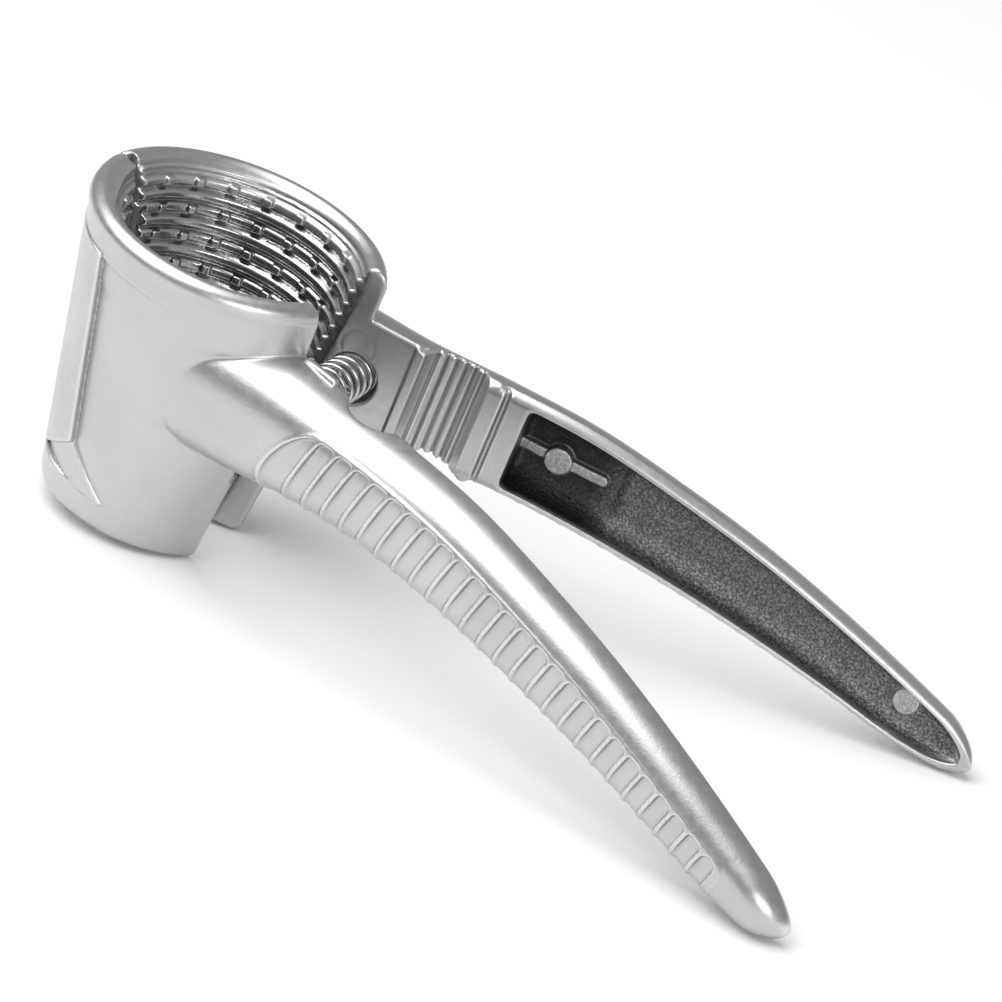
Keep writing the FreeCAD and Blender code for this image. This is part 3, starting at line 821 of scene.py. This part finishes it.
# How strongly the painted crease shade and the lighter edges (wear and painted highlight) are laid on.
WEAR_AND_PAINTED_LIGHT_SHARE = 0.45
SATIN_ROUGHNESS = (0.30, 0.40)
FUNNEL_ROUGHNESS = 0.17
HOLLOW_ROUGHNESS = 0.5
SPECKLE_RANGE = (0.42, 0.72)
NOISE_RANGE = (0.3, 0.7)  # where nearly all of a noise texture's values lie
UNIT_RANGE = (0.0, 1.0)
CAST_BUMP = 0.00022
STEEL_BUMP = 0.00001


class Nodes:
    """A new material and short calls for its nodes."""

    def __init__(self, name):
        self.material = bpy.data.materials.new(name)
        self.material.use_nodes = True
        self.tree = self.material.node_tree
        self.shader = self.tree.nodes["Principled BSDF"]
        self.place = self.tree.nodes.new("ShaderNodeTexCoord").outputs["Object"]

    def link(self, source, target):
        self.tree.links.new(source, target)

    def noise(self, scale, detail=3.0, roughness=0.55):
        node = self.tree.nodes.new("ShaderNodeTexNoise")
        node.inputs["Scale"].default_value = scale
        node.inputs["Detail"].default_value = detail
        node.inputs["Roughness"].default_value = roughness
        self.link(self.place, node.inputs["Vector"])
        return node.outputs["Fac"]

    def attribute(self, name):
        node = self.tree.nodes.new("ShaderNodeAttribute")
        node.attribute_name = name
        return node.outputs["Fac"]

    def remap(self, source, low, high, to_low, to_high):
        node = self.tree.nodes.new("ShaderNodeMapRange")
        for key, value in zip(("From Min", "From Max", "To Min", "To Max"), (low, high, to_low, to_high)):
            node.inputs[key].default_value = value
        self.link(source, node.inputs["Value"])
        return node.outputs["Result"]

    def mix(self, factor, a, b):
        """Between a and b, each a number or another node's output."""
        node = self.tree.nodes.new("ShaderNodeMix")
        self.link(factor, node.inputs["Factor"])
        for key, value in (("A", a), ("B", b)):
            if isinstance(value, float):
                node.inputs[key].default_value = value
            else:
                self.link(value, node.inputs[key])
        return node.outputs["Result"]

    def mix_colour(self, factor, a, b):
        node = self.tree.nodes.new("ShaderNodeMix")
        node.data_type = "RGBA"
        self.link(factor, node.inputs["Factor"])
        for socket, value in ((node.inputs[6], a), (node.inputs[7], b)):
            if isinstance(value, tuple):
                socket.default_value = (*value, 1)
            else:
                self.link(value, socket)
        return node.outputs[2]

    def math(self, operation, a, b):
        node = self.tree.nodes.new("ShaderNodeMath")
        node.operation = operation
        for socket, value in zip(node.inputs, (a, b)):
            if isinstance(value, float):
                socket.default_value = value
            else:
                self.link(value, socket)
        return node.outputs["Value"]

    def bump(self, height, distance, strength=1.0):
        node = self.tree.nodes.new("ShaderNodeBump")
        node.inputs["Distance"].default_value = distance
        node.inputs["Strength"].default_value = strength
        self.link(height, node.inputs["Height"])
        self.link(node.outputs["Normal"], self.shader.inputs["Normal"])


def cast_satin():
    """Die-cast zinc with satin nickel plating: lighter edges, partly wear and partly painted highlight;
    painted shade in creases, on the parting faces and in the shiny funnel; a coarse dark hollow, partly
    painted shade, with painted shade at its deep end and painted light on the marks standing in it.
    """
    n = Nodes("cast_satin")
    n.shader.inputs["Metallic"].default_value = 1.0
    funnel, hollow, inner = n.attribute("funnel"), n.attribute("hollow"), n.attribute("inner")
    cloud = n.remap(n.noise(55.0, 2.0), *NOISE_RANGE, *UNIT_RANGE)
    plating = n.mix_colour(cloud, PLATING_DARK, PLATING_LIGHT)
    # Painted shade: the parting faces are darkened.
    plating = n.mix_colour(inner, plating, SHADED_INNER_PLATING)
    # Painted shade: the funnel inside the cup is darkened.
    plating = n.mix_colour(funnel, plating, SHADED_FUNNEL_PLATING)
    speckle = n.remap(n.noise(2400.0, 2.0), *SPECKLE_RANGE, *UNIT_RANGE)
    # The channel: grainy cast that is darkened partly as painted shade, with painted shade towards its
    # deep end and painted light on the marks standing in it.
    cast_with_painted_light = n.mix_colour(speckle, *DARK_CAST_AND_SHADE)
    shade = n.math("MULTIPLY", n.attribute("shade"), SHADE_SHARE)
    cast_with_painted_light = n.mix_colour(shade, cast_with_painted_light, SHADED_CAST)
    # Painted light: the marks standing in the channel get a lit copy of the cast colour.
    cast_with_painted_light = n.mix_colour(n.attribute("mark"), cast_with_painted_light, n.mix_colour(speckle, *LIT_CAST))
    base = n.mix_colour(hollow, plating, cast_with_painted_light)
    # Painted shade in concave creases; along convex edges a lighter colour that is partly wear and partly
    # painted highlight.
    for wear_and_light, colour in (("crease_shade", PAINTED_CREASE_SHADE), ("edge", WORN_EDGE_AND_HIGHLIGHT)):
        base = n.mix_colour(n.math("MULTIPLY", n.attribute(wear_and_light), WEAR_AND_PAINTED_LIGHT_SHARE), base, colour)
    n.link(base, n.shader.inputs["Base Color"])
    satin_roughness = n.remap(n.noise(700.0, 3.0), *NOISE_RANGE, *SATIN_ROUGHNESS)
    roughness = n.mix(hollow, n.mix(funnel, satin_roughness, FUNNEL_ROUGHNESS), HOLLOW_ROUGHNESS)
    n.link(roughness, n.shader.inputs["Roughness"])
    fine = n.math("MULTIPLY", n.noise(2600.0, 2.0), 0.12)
    coarse = n.noise(1300.0, 3.0)
    n.bump(n.mix(hollow, fine, coarse), CAST_BUMP)
    return n.material


def steel(name, colour, roughness, marks):
    """Plain steel, with fine marks at that noise scale."""
    n = Nodes(name)
    n.shader.inputs["Metallic"].default_value = 1.0
    cloud = n.remap(n.noise(400.0, 3.0), *NOISE_RANGE, *UNIT_RANGE)
    darker = tuple(c * 0.82 for c in colour)
    n.link(n.mix_colour(cloud, darker, colour), n.shader.inputs["Base Color"])
    uneven = n.remap(n.noise(marks, 2.0), *NOISE_RANGE, roughness * 0.8, roughness * 1.2)
    n.link(uneven, n.shader.inputs["Roughness"])
    n.bump(n.noise(marks * 2, 2.0), STEEL_BUMP)
    return n.material


def pale_floor():
    """Nearly white, with hardly any gloss."""
    n = Nodes("pale_floor")
    tint = n.remap(n.noise(3.0, 2.0), *NOISE_RANGE, *UNIT_RANGE)
    n.link(n.mix_colour(tint, FLOOR_DARK, FLOOR_LIGHT), n.shader.inputs["Base Color"])
    n.shader.inputs["Roughness"].default_value = 0.8
    n.shader.inputs["Specular IOR Level"].default_value = 0.2
    return n.material


# ---------------------------------------------------------------- pieces

satin = cast_satin()
near = make_jaw("near_casting", -1, NEAR_KNUCKLES, FAR_KNUCKLES,
                flat_width=3.6, plain_top=True, material=satin)
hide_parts("near_jaw")
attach(near, "near_side")

far = make_jaw("far_casting", 1, FAR_KNUCKLES, NEAR_KNUCKLES,
               flat_width=1.2, plain_top=False, material=satin)
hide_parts("far_jaw")
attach(far, "far_side")

pin = frame["nodes"]["hinge_pin"]
pin.data.materials.clear()
pin.data.materials.append(steel("pin_steel", PIN_STEEL, roughness=0.25, marks=900.0))


# ---------------------------------------------------------------- the return spring

WIRE_RADIUS = 0.42
COIL_RADIUS = 3.85
COILS = 15.0
CLOSED_COILS_EACH_END = 1.2
SPRING_RING_STEPS = 28
WIRE_SIDES = 10


def spring_path():
    """Points along the wire from the far end to the near end, in the spring's box at rest."""
    low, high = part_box("return_spring")
    centre = (low + high) / 2
    reach = (high.y - low.y) / 2 - WIRE_RADIUS * MM
    steps = int(COILS * SPRING_RING_STEPS)
    open_coils = COILS - 2 * CLOSED_COILS_EACH_END
    wire = 2 * WIRE_RADIUS * MM
    length = 2 * reach - 2 * CLOSED_COILS_EACH_END * wire
    path = []
    for i in range(steps + 1):
        turn = COILS * i / steps
        at_end = min(turn, CLOSED_COILS_EACH_END) + max(turn - COILS + CLOSED_COILS_EACH_END, 0)
        along = at_end * wire + (turn - at_end) / open_coils * length
        angle = 2 * math.pi * turn
        radial = Vector((math.cos(angle), 0, math.sin(angle))) * COIL_RADIUS * MM
        path.append(centre + radial + Vector((0, reach - along, 0)))
    return path


def tube(name, path, radius, sides, material):
    """A round wire along the path, with flat ends."""
    bm = bmesh.new()
    rings = []
    for i, point in enumerate(path):
        ahead = path[min(i + 1, len(path) - 1)] - path[max(i - 1, 0)]
        side = ahead.cross(Vector((0, 1, 0))).normalized()
        up = side.cross(ahead).normalized()
        ring = []
        for j in range(sides):
            angle = 2 * math.pi * j / sides
            ring.append(bm.verts.new(point + (side * math.cos(angle) + up * math.sin(angle)) * radius))
        rings.append(ring)
    for a, b in zip(rings, rings[1:]):
        for j in range(sides):
            bm.faces.new((a[j], a[(j + 1) % sides], b[(j + 1) % sides], b[j]))
    bm.faces.new(rings[0][::-1])
    bm.faces.new(rings[-1])
    bmesh.ops.recalc_face_normals(bm, faces=bm.faces)
    for face in bm.faces:
        face.smooth = True
    mesh = bpy.data.meshes.new(name)
    bm.to_mesh(mesh)
    bm.free()
    mesh.materials.append(material)
    obj = bpy.data.objects.new(name, mesh)
    bpy.context.scene.collection.objects.link(obj)
    return obj


spring = tube("coil_spring", spring_path(), WIRE_RADIUS * MM, WIRE_SIDES,
              steel("spring_steel", SPRING_STEEL, roughness=0.22, marks=1500.0))
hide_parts("return_spring")
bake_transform(spring)


# ---------------------------------------------------------------- studio

CAMERA_AIM = Vector((-0.0004, 0.0052, 0.0287))
CAMERA_AZIMUTH = math.radians(21.36)
CAMERA_ELEVATION = math.radians(25.41)
CAMERA_ROLL = math.radians(15.2)
CAMERA_DISTANCE = 0.7992
CAMERA_LENS = 169.7
FLOOR_HALF_SIZE = 6.0
LIGHTS_AIM = Vector((0, 0, 0.03))
SKY_COLOUR = (0.92, 0.93, 0.95, 1)
SKY_STRENGTH = 0.40


def floor():
    bm = bmesh.new()
    bmesh.ops.create_grid(bm, x_segments=8, y_segments=8, size=FLOOR_HALF_SIZE)
    mesh = bpy.data.meshes.new("floor")
    bm.to_mesh(mesh)
    bm.free()
    mesh.materials.append(pale_floor())
    obj = bpy.data.objects.new("floor", mesh)
    bpy.context.scene.collection.objects.link(obj)


def softbox(name, place, size, power):
    """A round area light at that place, turned to the object."""
    light = bpy.data.lights.new(name, "AREA")
    light.shape = "DISK"
    light.size = size
    light.energy = power
    obj = bpy.data.objects.new(name, light)
    obj.location = place
    obj.rotation_mode = "QUATERNION"
    obj.rotation_quaternion = (LIGHTS_AIM - Vector(place)).to_track_quat("-Z", "Y")
    bpy.context.scene.collection.objects.link(obj)


def camera():
    data = bpy.data.cameras.new("camera")
    data.sensor_width = 36.0
    data.lens = CAMERA_LENS
    data.clip_start, data.clip_end = 0.01, 50.0
    obj = bpy.data.objects.new("camera", data)
    back = Vector((math.sin(CAMERA_AZIMUTH) * math.cos(CAMERA_ELEVATION),
                   -math.cos(CAMERA_AZIMUTH) * math.cos(CAMERA_ELEVATION),
                   math.sin(CAMERA_ELEVATION)))
    level = Vector((math.cos(CAMERA_AZIMUTH), math.sin(CAMERA_AZIMUTH), 0))
    right = Matrix.Rotation(CAMERA_ROLL, 3, back) @ level
    axes = Matrix((right, back.cross(right), back)).transposed().to_4x4()
    obj.matrix_world = Matrix.Translation(CAMERA_AIM + back * CAMERA_DISTANCE) @ axes
    bpy.context.scene.collection.objects.link(obj)
    bpy.context.scene.camera = obj


def world():
    made = bpy.data.worlds.new("studio")
    made.use_nodes = True
    background = made.node_tree.nodes["Background"]
    background.inputs["Color"].default_value = SKY_COLOUR
    background.inputs["Strength"].default_value = SKY_STRENGTH
    bpy.context.scene.world = made


floor()
softbox("key", place=(-0.5, -0.3, 1.2), size=1.7, power=22.0)
softbox("fill", place=(0.9, -0.9, 0.5), size=0.8, power=6.0)
world()
camera()
bpy.context.scene.view_settings.view_transform = "Standard"
